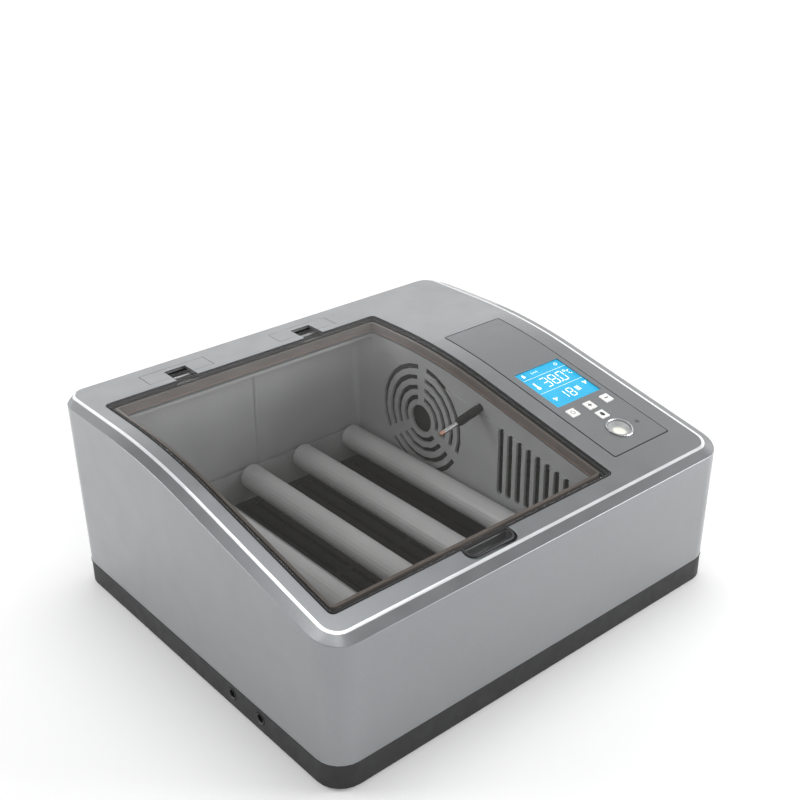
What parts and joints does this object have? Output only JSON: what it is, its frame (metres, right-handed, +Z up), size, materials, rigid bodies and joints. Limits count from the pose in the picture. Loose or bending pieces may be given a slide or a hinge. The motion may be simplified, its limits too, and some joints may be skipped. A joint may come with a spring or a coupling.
{
  "type": "egg incubator",
  "caption": "Table-top egg incubator with a hinged smoke-tinted lid, a roller egg turner, a fan heater, water channels and a sloping control panel.",
  "frame": {"origin": "on the resting surface, under the middle of the case", "axes": "+X to the control panel's side, +Y to the hinge side (rear), +Z up; the lid's tab and the low edge of the roof are at the front, -Y"},
  "size_m": [0.37, 0.322, 0.1564],
  "materials": {
    "silver_plastic": "satin silver metallic paint on ABS",
    "charcoal_plastic": "fine-grained dark ABS",
    "liner_plastic": "grey moulded chamber wall",
    "smoke_polycarbonate": "smoke-tinted clear polycarbonate",
    "black_plastic": "black moulding",
    "rubber": "black rubber",
    "steel": "bright steel",
    "roller_plastic": "light grey tube",
    "white_plastic": "white moulding",
    "panel_plastic": "satin grey control panel",
    "display_glass": "backlit liquid crystal display",
    "frosted_lens": "frosted lamp lens",
    "circuit_board": "green laminate with parts",
    "transformer_iron": "laminated core and taped winding"
  },
  "bodies": {
    "case": {"base_tray": "charcoal_plastic", "candler_led": "white_plastic", "candler_lens": "frosted_lens", "candler_ring": "steel", "case_screw_1": "steel", "case_screw_2": "steel", "case_screw_3": "steel", "case_screw_4": "steel", "control_panel": "panel_plastic", "display_board": "circuit_board", "fan_frame": "black_plastic", "floor_grid": "black_plastic", "foot_front_left": "rubber", "foot_front_right": "rubber", "foot_rear_left": "rubber", "foot_rear_right": "rubber", "heater_bracket": "steel", "heater_ring": "steel", "hinge_bracket_left": "black_plastic", "hinge_bracket_right": "black_plastic", "hinge_cover_left": "silver_plastic", "hinge_cover_right": "silver_plastic", "hinge_pin_left": "steel", "hinge_pin_right": "steel", "inner_liner": "liner_plastic", "lcd_module": "white_plastic", "lcd_window": "display_glass", "lid_seal": "rubber", "mains_inlet": "black_plastic", "outer_housing": "silver_plastic", "power_board": "circuit_board", "probe_sleeve": "rubber", "probe_tube": "steel", "transformer": "transformer_iron", "tray_frame": "liner_plastic", "turner_motor": "steel", "water_port_front": "black_plastic", "water_port_rear": "black_plastic", "water_tray": "charcoal_plastic"},
    "lid": {"lid_skirt": "smoke_polycarbonate", "viewing_lid": "smoke_polycarbonate"},
    "rack": {"drive_rack": "white_plastic", "drive_rod": "white_plastic"},
    "motor_gear": {"motor_pinion": "white_plastic"},
    "fan": {"fan_rotor": "black_plastic"},
    "roller_1": {"roller_1": "roller_plastic", "roller_pinion_1": "white_plastic"},
    "roller_2": {"roller_2": "roller_plastic", "roller_pinion_2": "white_plastic"},
    "roller_3": {"roller_3": "roller_plastic", "roller_pinion_3": "white_plastic"},
    "roller_4": {"roller_4": "roller_plastic", "roller_pinion_4": "white_plastic"},
    "roller_5": {"roller_5": "roller_plastic", "roller_pinion_5": "white_plastic"},
    "button_set": {"button_set": "white_plastic"},
    "button_up": {"button_up": "white_plastic"},
    "button_down": {"button_down": "white_plastic"},
    "button_light": {"button_light": "white_plastic"}
  },
  "joints": [
    {"name": "lid_hinge", "type": "hinge", "parent": "case", "child": "lid", "pos_m": [0, 0.138, 0.1511], "axis": [-1, 0, 0], "range_deg": [0, 100]},
    {"name": "roller_1_turn", "type": "hinge", "parent": "case", "child": "roller_1", "pos_m": [-0.1445, 0, 0.044], "axis": [0, -1, 0], "range_deg": [-57.3, 57.3]},
    {"name": "roller_2_turn", "type": "hinge", "parent": "case", "child": "roller_2", "pos_m": [-0.092, 0, 0.044], "axis": [0, -1, 0], "range_deg": [-57.4, 57.4]},
    {"name": "roller_3_turn", "type": "hinge", "parent": "case", "child": "roller_3", "pos_m": [-0.0395, 0, 0.044], "axis": [0, -1, 0], "range_deg": [-57.4, 57.4]},
    {"name": "roller_4_turn", "type": "hinge", "parent": "case", "child": "roller_4", "pos_m": [0.013, 0, 0.044], "axis": [0, -1, 0], "range_deg": [-57.4, 57.4]},
    {"name": "roller_5_turn", "type": "hinge", "parent": "case", "child": "roller_5", "pos_m": [0.0655, 0, 0.044], "axis": [0, -1, 0], "range_deg": [-57.4, 57.4]},
    {"name": "rack_slide", "type": "slide", "parent": "case", "child": "rack", "axis": [1, 0, 0], "range_m": [-0.00501, 0.00501]},
    {"name": "motor_gear_turn", "type": "hinge", "parent": "case", "child": "motor_gear", "pos_m": [0.112, -0.1243, 0.035], "axis": [0, -1, 0], "range_deg": [-57.4, 57.4]},
    {"name": "fan_spin", "type": "hinge", "parent": "case", "child": "fan", "pos_m": [0.0835, 0.0589, 0.0862], "axis": [1, 0, 0], "continuous": true},
    {"name": "button_set_press", "type": "slide", "parent": "case", "child": "button_set", "axis": [0, 0.2089, -0.9779], "range_m": [0, 0.001], "stiffness_N_per_m": 400, "springref_m": -0.001},
    {"name": "button_up_press", "type": "slide", "parent": "case", "child": "button_up", "axis": [0, 0.2089, -0.9779], "range_m": [0, 0.001], "stiffness_N_per_m": 400, "springref_m": -0.001},
    {"name": "button_down_press", "type": "slide", "parent": "case", "child": "button_down", "axis": [0, 0.2089, -0.9779], "range_m": [0, 0.001], "stiffness_N_per_m": 400, "springref_m": -0.001},
    {"name": "button_light_press", "type": "slide", "parent": "case", "child": "button_light", "axis": [0, 0.2089, -0.9779], "range_m": [0, 0.001], "stiffness_N_per_m": 400, "springref_m": -0.001}
  ],
  "couplings": [
    {"joint": "roller_2_turn", "follows": "roller_1_turn", "ratio": 1},
    {"joint": "roller_3_turn", "follows": "roller_1_turn", "ratio": 1},
    {"joint": "roller_4_turn", "follows": "roller_1_turn", "ratio": 1},
    {"joint": "roller_5_turn", "follows": "roller_1_turn", "ratio": 1},
    {"joint": "rack_slide", "follows": "roller_1_turn", "m_per_rad": 0.005},
    {"joint": "motor_gear_turn", "follows": "roller_1_turn", "ratio": 1}
  ]
}
